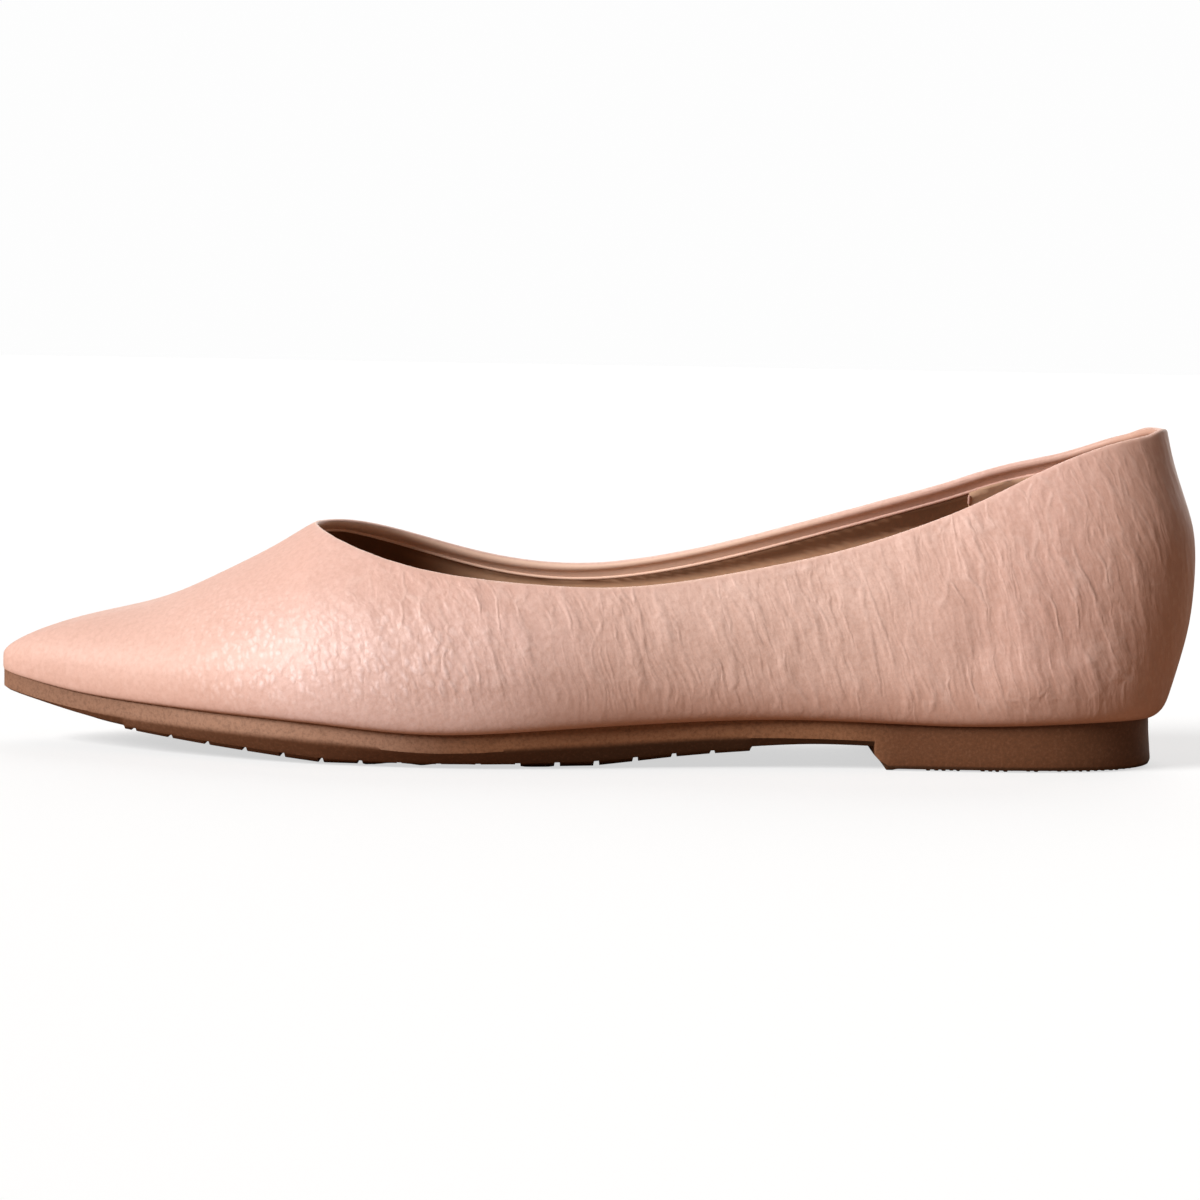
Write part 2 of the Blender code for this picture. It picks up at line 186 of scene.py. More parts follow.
def attribute(tree, name):
    return addNode(tree, "ShaderNodeAttribute", {"attribute_name": name}).outputs["Fac"]


def bumpUp(tree, shader, height):
    bump = addNode(tree, "ShaderNodeBump", Strength=1.0, Distance=1.0, Height=height)
    tree.links.new(bump.outputs[0], shader.inputs["Normal"])


def wavering(tree, texture, finish):
    # roughness that wavers with a texture about the finish's own value
    spread = finish["glossSpread"]
    return maths(tree, "MULTIPLY_ADD", texture, spread, finish["roughness"] - spread / 2.0)


def mixColour(tree, factor, first, second):
    node = addNode(tree, "ShaderNodeMix", {"data_type": "RGBA"}, Factor=factor)
    for socket, value in ((node.inputs[6], first), (node.inputs[7], second)):
        if isinstance(value, bpy.types.NodeSocket):
            tree.links.new(value, socket)
        else:
            socket.default_value = (*value, 1.0)
    return node.outputs[2]


# Finishes

pinkLeather = {
    "colour": (0.715, 0.445, 0.376),
    "flush": (0.735, 0.468, 0.392),      # lighter over the toe: painted light
    "low": (0.590, 0.350, 0.272),        # browner towards the sole and at the back of the heel: painted shade; also the brown blotches of the uneven dye
    "valley": (0.520, 0.285, 0.212),     # darker brown: painted shade down in the wrinkles and at the very back of the heel; also the dark of the uneven dye
    "crest": (0.810, 0.575, 0.505),      # paler on the crests, their lines and the tops of the pebbles: partly wear, partly painted highlight
    "pale": (0.930, 0.655, 0.565),       # paler along the middle of the quarter: painted light
    "ball": (0.880, 0.650, 0.610),       # paler and pinker over the ball: painted highlight
    "rim": (0.880, 0.640, 0.470),        # paler tan along the topline and on the facing: painted light where light catches the rim
    "joint": (0.300, 0.150, 0.095),      # the dark brown line along the joint with the sole
    "roughness": 0.52,
    "glossSpread": 0.10,
    "ballGloss": 0.03,                   # the ball is polished by wear
    "specular": 0.37,
    # gaps, sizes and depths of the relief, in metres
    "wrinkleGap": 0.0022,
    "wrinkleStretch": 3.8,
    "wrinkleSlant": 0.32,
    "wrinkleDepth": 0.00016,
    "fineWrinkleDepth": 0.000026,
    "swayBy": (0.0050, 0.0050, 0.0010),
    "creaseGap": 0.0040,
    "fineCreaseGap": 0.0021,
    "creaseLength": (1.0, 1.0, 0.62),
    "rippleBy": (0.0011, 0.0011, 0.0),
    "lineDepth": 0.000080,
    "fineLineDepth": 0.000036,
    "pebbleSize": 0.00140,
    "pebbleStretch": 1.9,
    "pebbleRound": 0.32,
    "jostleBy": (0.0016, 0.0016, 0.0016),
    "pebbleDepth": 0.00012,
    "grainDepth": 0.000024,
}

# each noise: its scale, its detail, and its roughness where that isn't a half
leatherNoise = {
    "sway": (70.0, 1.0),
    "crests": (0.52 / pinkLeather["wrinkleGap"], 1.6),
    "fineCrests": (1.8 / pinkLeather["wrinkleGap"], 1.5),
    "ripple": (330.0, 1.0),
    "breaks": (120.0, 2.0),
    "jostle": (420.0, 1.0),
    "grain": (1700.0, 2.0),
    "mottle": (900.0, 3.0, 0.7),
    "blotches": (260.0, 3.0, 0.6),
    "patches": (42.0, 1.0),
    "clouds": (24.0, 3.0),
}

# each zone: where it starts and where it is full, then its two values where they aren't 0 and 1
leatherZones = {
    "crests": (0.42, 0.70),
    "fineCrests": (0.38, 0.70),
    "lines": (0.0, 0.15, 1.0, 0.0),
    "lineBreaks": (0.42, 0.62),
    "fineLines": (0.0, 0.24, 1.0, 0.0),
    "fineLineBreaks": (0.62, 0.42, 0.15, 1.0),
    "linesAtBack": (0.124, 0.108, 0.25, 1.0),
    "behindBall": (-0.064, -0.010),
    "patches": (0.32, 0.70, 0.70, 1.15),
    "wrinklesAboveSole": (0.0095, 0.0180, 0.15, 1.0),
    "wrinklesAtHeel": (0.030, 0.062, 1.0, 1.20),
    "ballFront": (-0.096, -0.066),
    "ballBack": (-0.008, -0.040),
    "lowVamp": (0.040, 0.024),
    "aboveSole": (0.010, 0.018),
    "toe": (-0.050, -0.100),
    "lowWall": (0.030, 0.010),
    "lowBehindToe": (-0.075, -0.020, 0.25, 1.0),
    "brownBack": (0.095, 0.122, 0.0, 0.9),
    "darkBack": (0.111, 0.124, 0.0, 0.45),
    "paleFront": (-0.035, 0.030),
    "paleBack": (0.104, 0.044),
    "paleAboveSole": (0.012, 0.023),
    "ballHighlightFront": (-0.084, -0.056),
    "ballHighlightBack": (0.012, -0.028),
    "pebbleTops": (0.45, 0.85),
    "mottle": (0.35, 0.75, 0.0, 0.34),
    "blotches": (0.45, 0.72, 0.0, 0.20),
    "clouds": (0.45, 0.75, 0.0, 0.12),
    "tanEdge": (0.70, 0.0, 0.0, 0.50),
    "tanFront": (0.075, 0.025, 0.25, 1.0),
    "jointDarkBehindBall": (-0.040, 0.000, 0.30, 0.60),
}

leatherShares = {
    "ballLean": 0.45,                    # the wrinkles start further forward high up
    "ballPebbles": 1.15,
    "wallPebbles": 0.26,
    "lowBrown": 0.75,
    "pale": 0.95,
    "ballHighlight": 0.50,
    "wrinkleShade": 0.16,
    "linePale": 0.36,
    "fineLinePale": 0.16,
    "ballTops": 0.80,
    "wallTops": 0.18,
    "blotchesBehind": 0.8,
    "blotchesBefore": 0.2,
    "jointDarkFall": 1.6,
}

brownRubber = {
    "colour": (0.160, 0.062, 0.027),
    "side": (0.320, 0.148, 0.074),       # the side wall under the waist, lighter: painted light
    "paleWearAndLight": (0.430, 0.245, 0.165),       # the side wall under the forepart, lighter than the heel: partly wear, partly painted light; also the pale specks
    # dark: painted shade on faces turned under and at the back of the heel; also the joint line and the dark specks
    "under": (0.075, 0.034, 0.017),
    # under the forepart: painted shade, less dark there
    "underFore": (0.130, 0.050, 0.022),
    "roughness": 0.55,
    "glossSpread": 0.16,
    "specular": 0.35,
    "jointShare": 0.25,
    "flowDepth": 0.00006,
    "gritDepth": 0.00003,
}

rubberNoise = {
    "clouds": (60.0, 4.0),
    "specks": (1300.0, 3.0, 0.75),
    "grit": (1500.0, 3.0),
    "flow": (260.0, 2.0),
}

rubberZones = {
    "foreBack": (-0.022, -0.050),
    "foreTip": (-0.126, -0.070, 0.50, 1.0),
    "waistBack": (0.066, 0.050),
    "waistFront": (-0.045, -0.010),
    "clouds": (0.25, 0.75, 0.75, 1.0),
    "darkBack": (0.090, 0.116, 0.0, 0.45),
    "turnedUnder": (-0.16, -0.50),
    "underFore": (0.010, -0.050),
    "specks": (0.42, 0.70, 0.0, 0.38),
    "paleSpecks": (0.50, 0.30, 0.0, 0.10),
}

tanLining = {
    "front": (0.190, 0.084, 0.040),
    "frontLow": (0.680, 0.420, 0.270),   # paler low on the wall: painted light, where light falls on the lower lining
    "heel": (0.480, 0.285, 0.185),
    "darker": 0.72,
    "roughness": 0.72,
    "glossSpread": 0.12,
    "specular": 0.30,
    "poreScale": 900.0,
    "poreDepth": 0.00002,
    "nap": (700.0, 4.0, 0.65),
    "napDepth": 0.00006,
    "clouds": (45.0, 3.0),
    "cloudZone": (0.3, 0.8),
}

pinkThread = {
    "colour": (0.70, 0.43, 0.36),
    "dark": (0.50, 0.28, 0.22),
    "roughness": 0.6,
    "twistScale": 900.0,
}


def leatherWrinkles(tree, place, x, y, z):
    # wrinkles run down the walls and lean towards the heel, so height is squeezed and slanted
    leaning = maths(tree, "MULTIPLY_ADD", z, pinkLeather["wrinkleSlant"], x)
    squeezed = maths(tree, "DIVIDE", z, pinkLeather["wrinkleStretch"])
    drawn = addNode(tree, "ShaderNodeCombineXYZ", i0=leaning, i1=y, i2=squeezed).outputs[0]
    sway = noise(tree, place, leatherNoise["sway"], "Color")
    swayed = vectorMaths(tree, "MULTIPLY_ADD", sway, pinkLeather["swayBy"], drawn)
    crests = ranged(tree, noise(tree, swayed, leatherNoise["crests"]), *leatherZones["crests"])
    fineCrests = ranged(tree, noise(tree, swayed, leatherNoise["fineCrests"]), *leatherZones["fineCrests"])
    # thin pale lines run down the wrinkles, meet and break off
    ripple = noise(tree, place, leatherNoise["ripple"], "Color")
    longer = vectorMaths(tree, "MULTIPLY", swayed, pinkLeather["creaseLength"])
    rippled = vectorMaths(tree, "MULTIPLY_ADD", ripple, pinkLeather["rippleBy"], longer)
    breaks = noise(tree, place, leatherNoise["breaks"])
    atBack = ranged(tree, x, *leatherZones["linesAtBack"])
    lines = ranged(tree, cellEdges(tree, rippled, pinkLeather["creaseGap"]), *leatherZones["lines"])
    lines = times(tree, lines, ranged(tree, breaks, *leatherZones["lineBreaks"]), atBack)
    fineLines = ranged(tree, cellEdges(tree, rippled, pinkLeather["fineCreaseGap"]), *leatherZones["fineLines"])
    fineLines = times(tree, fineLines, ranged(tree, breaks, *leatherZones["fineLineBreaks"]), atBack)
    return leaning, crests, fineCrests, lines, fineLines


def leatherPebbles(tree, place, leaning, y, z):
    # round pebbles, drawn out a little down the wall
    squeezed = maths(tree, "DIVIDE", z, pinkLeather["pebbleStretch"])
    drawn = addNode(tree, "ShaderNodeCombineXYZ", i0=leaning, i1=y, i2=squeezed).outputs[0]
    jostle = noise(tree, place, leatherNoise["jostle"], "Color")
    jostled = vectorMaths(tree, "MULTIPLY_ADD", jostle, pinkLeather["jostleBy"], drawn)
    pebbles = addNode(tree, "ShaderNodeTexVoronoi", {"feature": "SMOOTH_F1"}, Vector=jostled,
                      Scale=1.0 / pinkLeather["pebbleSize"], Smoothness=pinkLeather["pebbleRound"], Randomness=1.0)
    return maths(tree, "SUBTRACT", 1.0, pebbles.outputs["Distance"])


def leatherMaterial():
    material, tree, shader = freshMaterial("pinkLeather")
    place, (x, y, z) = objectPlace(tree)
    walls, joint = attribute(tree, "wall"), attribute(tree, "joint")
    share = leatherShares

    def zone(value, name):
        return ranged(tree, value, *leatherZones[name])

    leaning, crests, fineCrests, lines, fineLines = leatherWrinkles(tree, place, x, y, z)
    pebbles = leatherPebbles(tree, place, leaning, y, z)
    grain = noise(tree, place, leatherNoise["grain"])
    # where each shows: smooth toe, pebbled ball, wrinkled sides, and none of it on the facing
    behindBall = zone(maths(tree, "MULTIPLY_ADD", z, share["ballLean"], x), "behindBall")
    patches = zone(noise(tree, place, leatherNoise["patches"]), "patches")
    wrinkled = times(tree, behindBall, patches, walls, zone(z, "wrinklesAboveSole"), zone(x, "wrinklesAtHeel"))
    lowVamp = zone(z, "lowVamp")
    ball = times(tree, zone(x, "ballFront"), zone(x, "ballBack"), times(tree, lowVamp, zone(z, "aboveSole")))
    pebbled = maths(tree, "MULTIPLY_ADD", ball, share["ballPebbles"], times(tree, walls, share["wallPebbles"]))
    height = times(tree, crests, wrinkled, pinkLeather["wrinkleDepth"])
    for form, where, depth in (
        (fineCrests, wrinkled, "fineWrinkleDepth"),
        (lines, wrinkled, "lineDepth"),
        (fineLines, wrinkled, "fineLineDepth"),
        (pebbles, pebbled, "pebbleDepth"),
        (grain, 1.0, "grainDepth"),
    ):
        height = maths(tree, "MULTIPLY_ADD", times(tree, form, where), pinkLeather[depth], height)
    bumpUp(tree, shader, height)
    # painted light: the toe is a little lighter
    shade = mixColour(tree, zone(x, "toe"), pinkLeather["colour"], pinkLeather["flush"])
    # painted shade: the lowest part of the walls is browner from the waist back, and so is the back of the heel,
    # darker still at its very back
    lowBrown = times(tree, zone(z, "lowWall"), zone(x, "lowBehindToe"), share["lowBrown"])
    shade = mixColour(tree, maths(tree, "MAXIMUM", lowBrown, zone(x, "brownBack")), shade, pinkLeather["low"])
    shade = mixColour(tree, zone(x, "darkBack"), shade, pinkLeather["valley"])
    # painted light: the middle of the quarter and the ball are painted paler
    pale = times(tree, zone(x, "paleFront"), zone(x, "paleBack"), times(tree, zone(z, "paleAboveSole"), walls))
    shade = mixColour(tree, times(tree, pale, share["pale"]), shade, pinkLeather["pale"])
    # painted highlight: the ball is painted paler and pinker
    ballHighlight = times(tree, zone(x, "ballHighlightFront"), zone(x, "ballHighlightBack"), times(tree, lowVamp, share["ballHighlight"]))
    shade = mixColour(tree, ballHighlight, shade, pinkLeather["ball"])
    # painted shade down in the wrinkles; paler lines, partly wear and partly painted highlight; painted highlight on
    # the tops of the pebbles
    depth = times(tree, maths(tree, "SUBTRACT", 1.0, crests), wrinkled)
    wrinkleShade = maths(tree, "MULTIPLY", depth, share["wrinkleShade"], clamp=True)
    shade = mixColour(tree, wrinkleShade, shade, pinkLeather["valley"])
    # the lines are painted paler: partly wear, partly painted highlight
    drawnLines = maths(tree, "MULTIPLY_ADD", lines, share["linePale"], times(tree, fineLines, share["fineLinePale"]))
    shade = mixColour(tree, maths(tree, "MULTIPLY", drawnLines, wrinkled, clamp=True), shade, pinkLeather["crest"])
    # painted highlight on the tops of the pebbles, strongest over the ball
    topped = maths(tree, "MULTIPLY_ADD", ball, share["ballTops"], times(tree, walls, share["wallTops"]))
    topColour = mixColour(tree, ball, pinkLeather["crest"], pinkLeather["ball"])
    shade = mixColour(tree, times(tree, zone(pebbles, "pebbleTops"), topped), shade, topColour)
    # uneven dye, from specks to clouds
    shade = mixColour(tree, zone(noise(tree, place, leatherNoise["mottle"]), "mottle"), shade, pinkLeather["valley"])
    blotched = maths(tree, "MULTIPLY_ADD", behindBall, share["blotchesBehind"], share["blotchesBefore"])
    blotches = times(tree, zone(noise(tree, place, leatherNoise["blotches"]), "blotches"), blotched)
    shade = mixColour(tree, blotches, shade, pinkLeather["low"])
    shade = mixColour(tree, zone(noise(tree, place, leatherNoise["clouds"]), "clouds"), shade, pinkLeather["valley"])
    # painted light: paler tan along the topline; and darker along the joint with the sole
    shade = mixColour(tree, times(tree, zone(walls, "tanEdge"), zone(x, "tanFront")), shade, pinkLeather["rim"])
    jointDark = times(tree, maths(tree, "POWER", joint, share["jointDarkFall"]), zone(x, "jointDarkBehindBall"))
    shade = mixColour(tree, jointDark, shade, pinkLeather["joint"])
    tree.links.new(shade, shader.inputs["Base Color"])
    polished = maths(tree, "MULTIPLY_ADD", ball, -pinkLeather["ballGloss"], wavering(tree, grain, pinkLeather))
    tree.links.new(polished, shader.inputs["Roughness"])
    shader.inputs["Specular IOR Level"].default_value = pinkLeather["specular"]
    return material


def rubberMaterial():
    material, tree, shader = freshMaterial("brownRubber")
    place, (x, y, z) = objectPlace(tree)
    normal = addNode(tree, "ShaderNodeNewGeometry").outputs["Normal"]
    upwards = addNode(tree, "ShaderNodeSeparateXYZ", i0=normal).outputs[2]

    def zone(value, name):
        return ranged(tree, value, *rubberZones[name])

    # the heel is dark, darker at its back as painted shade; the waist's side wall browner and lighter as painted
    # light; the forepart's side wall paler and clouded, partly wear and partly painted light
    # painted shade: the back of the heel darker
    wall = mixColour(tree, zone(x, "darkBack"), brownRubber["colour"], brownRubber["under"])
    waist = times(tree, zone(x, "waistBack"), zone(x, "waistFront"))
    wall = mixColour(tree, waist, wall, brownRubber["side"])
    clouds = zone(noise(tree, place, rubberNoise["clouds"]), "clouds")
    # less of it at the toe tip, where the key light falls strongest: painted shade
    paleWearAndLight = times(tree, zone(x, "foreBack"), zone(x, "foreTip"), clouds)
    wall = mixColour(tree, paleWearAndLight, wall, brownRubber["paleWearAndLight"])
    # painted shade: faces turned under are darker, a little less so under the forepart
    below = mixColour(tree, zone(x, "underFore"), brownRubber["under"], brownRubber["underFore"])
    shade = mixColour(tree, zone(upwards, "turnedUnder"), wall, below)
    # darker along the joint with the upper
    jointDark = times(tree, attribute(tree, "joint"), brownRubber["jointShare"])
    shade = mixColour(tree, jointDark, shade, brownRubber["under"])
    specks = noise(tree, place, rubberNoise["specks"])
    shade = mixColour(tree, zone(specks, "specks"), shade, brownRubber["under"])
    shade = mixColour(tree, zone(specks, "paleSpecks"), shade, brownRubber["paleWearAndLight"])
    tree.links.new(shade, shader.inputs["Base Color"])
    grit = times(tree, noise(tree, place, rubberNoise["grit"]), brownRubber["gritDepth"])
    flow = noise(tree, place, rubberNoise["flow"])
    bumpUp(tree, shader, maths(tree, "MULTIPLY_ADD", flow, brownRubber["flowDepth"], grit))
    tree.links.new(wavering(tree, flow, brownRubber), shader.inputs["Roughness"])
    shader.inputs["Specular IOR Level"].default_value = brownRubber["specular"]
    return material


def liningMaterial(name, colour, lowColour=None):
    material, tree, shader = freshMaterial(name)
    place = objectPlace(tree)[0]
    pores = addNode(tree, "ShaderNodeTexVoronoi", {"feature": "F1"}, Vector=place, Scale=tanLining["poreScale"])
    poreHeight = times(tree, pores.outputs["Distance"], tanLining["poreDepth"])
    nap = noise(tree, place, tanLining["nap"])
    bumpUp(tree, shader, maths(tree, "MULTIPLY_ADD", nap, tanLining["napDepth"], poreHeight))
    clouds = ranged(tree, noise(tree, place, tanLining["clouds"]), *tanLining["cloudZone"])
    darker = tuple(channel * tanLining["darker"] for channel in colour)
    shade = mixColour(tree, clouds, colour, darker)
    if lowColour:
        # painted light: the lining is paler low on the wall
        shade = mixColour(tree, attribute(tree, "pale"), shade, lowColour)
    tree.links.new(shade, shader.inputs["Base Color"])
    tree.links.new(wavering(tree, nap, tanLining), shader.inputs["Roughness"])
    shader.inputs["Specular IOR Level"].default_value = tanLining["specular"]
    return material


def threadMaterial():
    material, tree, shader = freshMaterial("pinkThread")
    place = objectPlace(tree)[0]
    twist = addNode(tree, "ShaderNodeTexWave", Vector=place, Scale=pinkThread["twistScale"], Distortion=1.0).outputs[0]
    shade = mixColour(tree, twist, pinkThread["colour"], pinkThread["dark"])
    tree.links.new(shade, shader.inputs["Base Color"])
    shader.inputs["Roughness"].default_value = pinkThread["roughness"]
    return material


leatherFinish = leatherMaterial()
rubberFinish = rubberMaterial()
frontLiningFinish = liningMaterial("brownLining", tanLining["front"], tanLining["frontLow"])
heelLiningFinish = liningMaterial("tanLining", tanLining["heel"])
threadFinish = threadMaterial()
print("finishes mixed")


# Upper: the imported solid with a smooth skin, then its main creases

upper = {
    "skinLevels": 2,
    "facing": 0.0036,        # the pink strip that shows inside, below the turned edge
    "edgeFade": 0.0022,      # the grain fades this close to the topline
    "edgeShare": 0.25,       # what is left of it there
    "backTip": 0.0010,       # the turned edge stands up where it meets behind the heel
    "tipFrom": (0.1170, 0.0560),
    "tipFade": (0.0050, 0.0150),
    "axisHeight": 0.015,     # a line inside the shoe that every inner face looks towards
    "heelAxis": 0.095,
    "toeAxis": -0.112,
    "slice": 0.005,          # the middle of the shoe is measured this often along it
    "rimSharp": 55.0,        # degrees: the topline's two edges are sharper than this
    "rimUp": 0.5,            # and border a face that looks up
    "rimAbove": 0.025,
    "rimStep": 0.0003,
}

# Each crease: its half width, how far it stands out, and its points along the outer wall as (X, height),
# all in millimetres
millimetre = 0.001

creases = [
    {"width": 1.5, "rise": 0.22, "points": [(38.6, 43.1), (41.8, 37.7), (45.7, 32.8), (47.9, 28.6), (48.4, 24.8)]},
    {"width": 1.3, "rise": 0.16, "points": [(40.2, 36.3), (42.9, 32.8), (44.5, 27.9), (45.7, 23.3)]},
    {"width": 1.5, "rise": 0.2, "points": [(51.4, 34.9), (54.2, 30.2), (55.4, 22.8)]},
    {"width": 1.6, "rise": 0.25, "points": [(57.7, 46.3), (59.2, 40.7), (62.6, 35.9), (65.6, 30.3),
                                            (67.0, 24.0), (66.5, 19.1), (68.2, 14.2)]},
    {"width": 1.6, "rise": 0.24, "points": [(65.5, 49.2), (68.9, 43.0), (71.0, 38.2), (76.1, 33.3),
                                            (78.5, 29.9), (79.0, 26.3)]},
    {"width": 1.4, "rise": 0.18, "points": [(66.8, 36.0), (71.1, 31.1), (73.3, 28.4)]},
    {"width": 1.5, "rise": 0.18, "points": [(76.7, 53.6), (80.9, 50.1), (84.4, 46.0), (87.8, 42.9)]},
    {"width": 1.6, "rise": 0.25, "points": [(85.1, 56.5), (87.8, 49.6), (89.3, 44.0), (93.6, 37.8),
                                            (95.8, 33.6), (97.6, 27.7)]},
    {"width": 1.5, "rise": 0.2, "points": [(92.9, 56.6), (95.6, 51.8), (98.4, 47.7), (99.5, 42.5)]},
    {"width": 1.4, "rise": 0.16, "points": [(97.2, 60.2), (99.2, 54.6), (102.0, 49.4)]},
    {"width": 1.5, "rise": 0.2, "points": [(100.6, 40.0), (102.9, 33.6), (105.3, 24.5)]},
    {"width": 1.6, "rise": 0.2, "points": [(105.8, 65.2), (108.5, 59.8), (111.3, 53.5), (112.9, 48.4),
                                           (115.3, 40.4)]},
    {"width": 1.4, "rise": 0.16, "points": [(81.6, 23.6), (85.5, 19.5), (88.4, 15.4)]},
    {"width": 1.6, "rise": 0.18, "points": [(-54.0, 36.8), (-48.8, 32.4), (-45.6, 27.6), (-46.1, 22.3)]},
    {"width": 1.4, "rise": 0.12, "points": [(-46.4, 40.4), (-42.6, 35.2), (-40.9, 30.8)]},
    {"width": 1.5, "rise": 0.22, "points": [(-35.4, 34.7), (-34.6, 29.3), (-33.0, 24.7), (-32.6, 18.1)]},
    {"width": 1.4, "rise": 0.16, "points": [(-31.0, 29.4), (-30.5, 19.2)]},
    {"width": 1.5, "rise": 0.2, "points": [(-23.6, 31.9), (-22.8, 24.8), (-23.1, 18.3)]},
    {"width": 1.5, "rise": 0.2, "points": [(-19.6, 36.2), (-18.0, 31.6), (-15.8, 27.0), (-12.9, 21.0)]},
    {"width": 1.4, "rise": 0.15, "points": [(-7.6, 33.8), (-6.2, 27.6), (-4.8, 21.0)]},
    {"width": 1.4, "rise": 0.18, "points": [(2.2, 34.9), (3.0, 29.1), (5.1, 23.8)]},
    {"width": 1.4, "rise": 0.18, "points": [(9.7, 37.4), (13.4, 33.9), (14.9, 28.8)]},
    {"width": 1.4, "rise": 0.16, "points": [(17.6, 35.0), (17.0, 29.8), (18.3, 25.3)]},
    {"width": 1.4, "rise": 0.15, "points": [(21.9, 27.8), (23.2, 23.2), (22.9, 17.2)]},
    {"width": 1.4, "rise": 0.16, "points": [(28.1, 38.2), (30.4, 33.7), (32.0, 27.8)]},
    {"width": 5.0, "rise": -0.55, "points": [(82.0, 33.8), (81.5, 28.5), (80.8, 22.6)]},
    {"width": 3.2, "rise": 0.25, "points": [(-29.7, 37.5), (-26.5, 36.1), (-22.8, 33.2)]},
    {"width": 4.5, "rise": 0.4, "points": [(87.7, 18.0), (96.2, 19.8), (104.8, 20.2)]},
]

creaseForm = {
    "reach": 4.0,            # in half widths
    "troughAt": 1.9,
    "troughShare": 0.35,
    "endAt": 0.12,           # the crest starts and ends at this share of its full arc
    "span": 0.76,
    "fall": 0.6,
    "sideways": 0.1,         # only on faces that look at least this much sideways
}

# The inner side isn't in the photo: it takes the same creases, shifted along and softer
creaseSides = {"outer": {"along": 0.0, "share": 1.0}, "inner": {"along": 5.5, "share": 0.75}}


def distanceToLine(point, line):
    # how far a point of the wall is from a crease, and where along it, 0 to 1
    best, where = math.inf, 0.0
    for k in range(len(line) - 1):
        start, end = Vector(line[k]), Vector(line[k + 1])
        run = end - start
        share = unit((point - start).dot(run) / run.length_squared)
        gap = (point - start - run * share).length
        if gap < best:
            best, where = gap, (k + share) / (len(line) - 1)
    return best, where


def sliceOf(x):
    return round(x / upper["slice"])


def liftAt(spot, near):
    # how far the creases lift the wall at one spot, in millimetres
    lift = 0.0
    for crease, reach, left, right, low, high in near:
        if not (left < spot.x < right and low < spot.y < high):
            continue
        gap, where = distanceToLine(spot, crease["points"])
        if gap > reach:
            continue
        arc = math.pi * unit(creaseForm["endAt"] + creaseForm["span"] * where)
        crest = math.exp(-(gap / crease["width"]) ** 2)
        trough = math.exp(-((gap - creaseForm["troughAt"] * crease["width"]) / crease["width"]) ** 2)
        lift += crease["rise"] * math.sin(arc) ** creaseForm["fall"] * (crest - creaseForm["troughShare"] * trough)
    return lift


def pressCreases(piece):
    mesh = piece.data
    reaches = []
    for crease in creases:
        reach = creaseForm["reach"] * crease["width"]
        along = [point[0] for point in crease["points"]]
        high = [point[1] for point in crease["points"]]
        reaches.append((crease, reach, min(along) - reach, max(along) + reach, min(high) - reach, max(high) + reach))
    normals = [vertex.normal.copy() for vertex in mesh.vertices]      # read before any vertex moves
    for vertex, normal in zip(mesh.vertices, normals):
        side = "outer" if vertex.co.y < insideLine.get(sliceOf(vertex.co.x), 0.0) else "inner"
        facing = -normal.y if side == "outer" else normal.y
        if facing < creaseForm["sideways"]:
            continue
        spot = Vector((vertex.co.x / millimetre + creaseSides[side]["along"], vertex.co.z / millimetre))
        vertex.co += normal * liftAt(spot, reaches) * creaseSides[side]["share"] * millimetre


def lineInside(piece):
    # the middle of the shoe at each slice of its length
    spans = {}
    for vertex in piece.data.vertices:
        key = sliceOf(vertex.co.x)
        low, high = spans.get(key, (1.0, -1.0))
        spans[key] = (min(low, vertex.co.y), max(high, vertex.co.y))
    return {key: (low + high) / 2.0 for key, (low, high) in spans.items()}


def looksInward(centre, normal):
    x = min(max(centre.x, upper["toeAxis"]), upper["heelAxis"])
    axis = Vector((x, insideLine.get(sliceOf(x), 0.0), upper["axisHeight"]))
    return normal.dot(centre - axis) < 0.0


def measureRim(piece):
    # a dense row of points along the two edges of the topline, to measure the facing from
    selectOnly(piece)
    bpy.ops.object.mode_set(mode="EDIT")
    bpy.ops.mesh.select_mode(type="EDGE")
    bpy.ops.mesh.select_all(action="DESELECT")
    bpy.ops.mesh.edges_select_sharp(sharpness=math.radians(upper["rimSharp"]))
    bpy.ops.object.mode_set(mode="OBJECT")
    upward = {key for face in piece.data.polygons if face.normal.z > upper["rimUp"] for key in face.edge_keys}
    points = []
    for edge in piece.data.edges:
        start, end = (piece.data.vertices[k].co for k in edge.vertices)
        if edge.select and min(start.z, end.z) > upper["rimAbove"] and tuple(sorted(edge.vertices)) in upward:
            steps = max(1, int((end - start).length / upper["rimStep"]))
            points += [start.lerp(end, k / steps) for k in range(steps + 1)]
    rim = kdtree.KDTree(len(points))
    for k, point in enumerate(points):
        rim.insert(point, k)
    rim.balance()
    return rim


def markWalls(piece):
    # 1 on the outer walls, fading towards the topline, and 0 on everything that looks inward
    wall = piece.data.attributes.new("wall", "FLOAT", "POINT")
    for vertex in piece.data.vertices:
        away = min(1.0, rim.find(vertex.co)[2] / upper["edgeFade"])
        grain = upper["edgeShare"] + (1.0 - upper["edgeShare"]) * away
        wall.data[vertex.index].value = 0.0 if looksInward(vertex.co, vertex.normal) else grain


